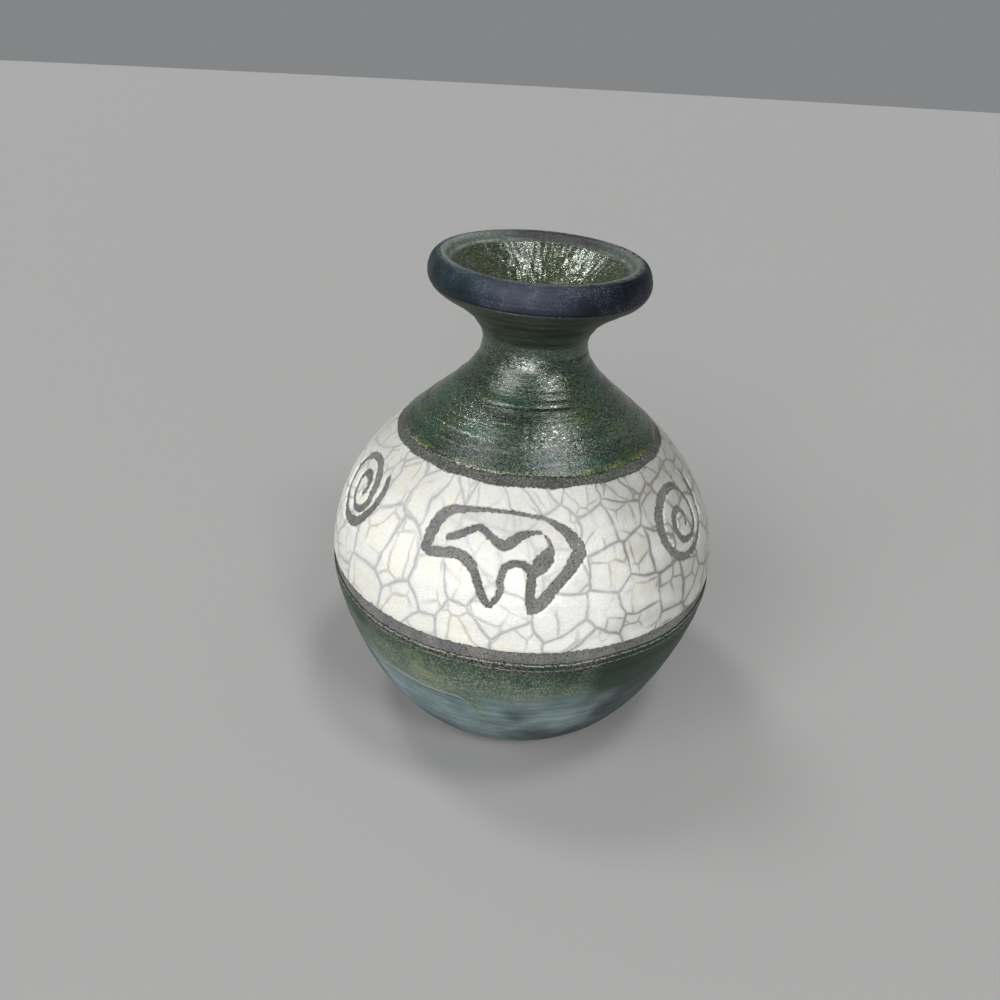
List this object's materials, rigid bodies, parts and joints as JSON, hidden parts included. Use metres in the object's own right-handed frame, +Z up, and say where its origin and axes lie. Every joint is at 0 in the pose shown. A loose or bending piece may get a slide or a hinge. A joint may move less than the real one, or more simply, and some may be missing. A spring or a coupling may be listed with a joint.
{
  "type": "raku vase",
  "caption": "Small round raku vase with a narrow neck and a wide flared rim, for dry flowers or display.",
  "frame": {"origin": "middle of the foot, on the surface that the vase stands on", "axes": "+Z up along the axis it was turned on; -Y towards the front, where the first bear is; +X to the right of the front"},
  "size_m": [0.1166, 0.1166, 0.1381],
  "materials": {
    "smoked_clay": "matte carbonised raku clay",
    "teal_lustre": "satin teal-green copper lustre",
    "white_crackle": "glossy off-white crackle glaze with smoked cracks",
    "green_lustre": "metallic dark green lustre with fine sparkle",
    "blue_lustre": "satin dark blue lustre",
    "olive_lustre": "metallic olive lustre with fine sparkle"
  },
  "bodies": {
    "root": {"clay_body": "smoked_clay", "lower_glaze": "teal_lustre", "crackle_glaze": "white_crackle", "bear_glaze_front": "white_crackle", "bear_glaze_right": "white_crackle", "bear_glaze_left": "white_crackle", "neck_glaze": "green_lustre", "rim_glaze": "blue_lustre", "lining_glaze": "olive_lustre"}
  },
  "joints": []
}
